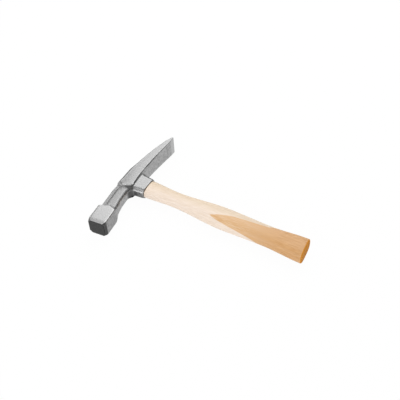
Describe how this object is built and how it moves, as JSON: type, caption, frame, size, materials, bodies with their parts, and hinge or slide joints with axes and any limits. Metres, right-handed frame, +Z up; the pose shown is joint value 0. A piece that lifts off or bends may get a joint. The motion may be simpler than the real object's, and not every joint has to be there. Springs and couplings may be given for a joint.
{
  "type": "brick hammer",
  "caption": "Bricklayer's hammer lying on its side: forged steel head with a square poll, faceted neck and chisel blade, wedged on a flared hickory handle.",
  "frame": {"origin": "middle of the hammer's box, on the ground it lies on", "axes": "+X along the handle from the head to the butt, +Y along the head towards the blade, +Z up, across the hammer's width"},
  "size_m": [0.2822, 0.1926, 0.03],
  "materials": {
    "forged_steel": "forged and shot-blasted, ground at the striking face and edge",
    "hickory": "sanded, clear lacquer",
    "wedge_wood": "sawn end grain",
    "wedge_steel": "bare rolled steel"
  },
  "bodies": {
    "root": {"hammer_head": "forged_steel", "handle": "hickory", "wood_wedge": "wedge_wood", "steel_wedge_poll_side": "wedge_steel", "steel_wedge_blade_side": "wedge_steel"}
  },
  "joints": []
}
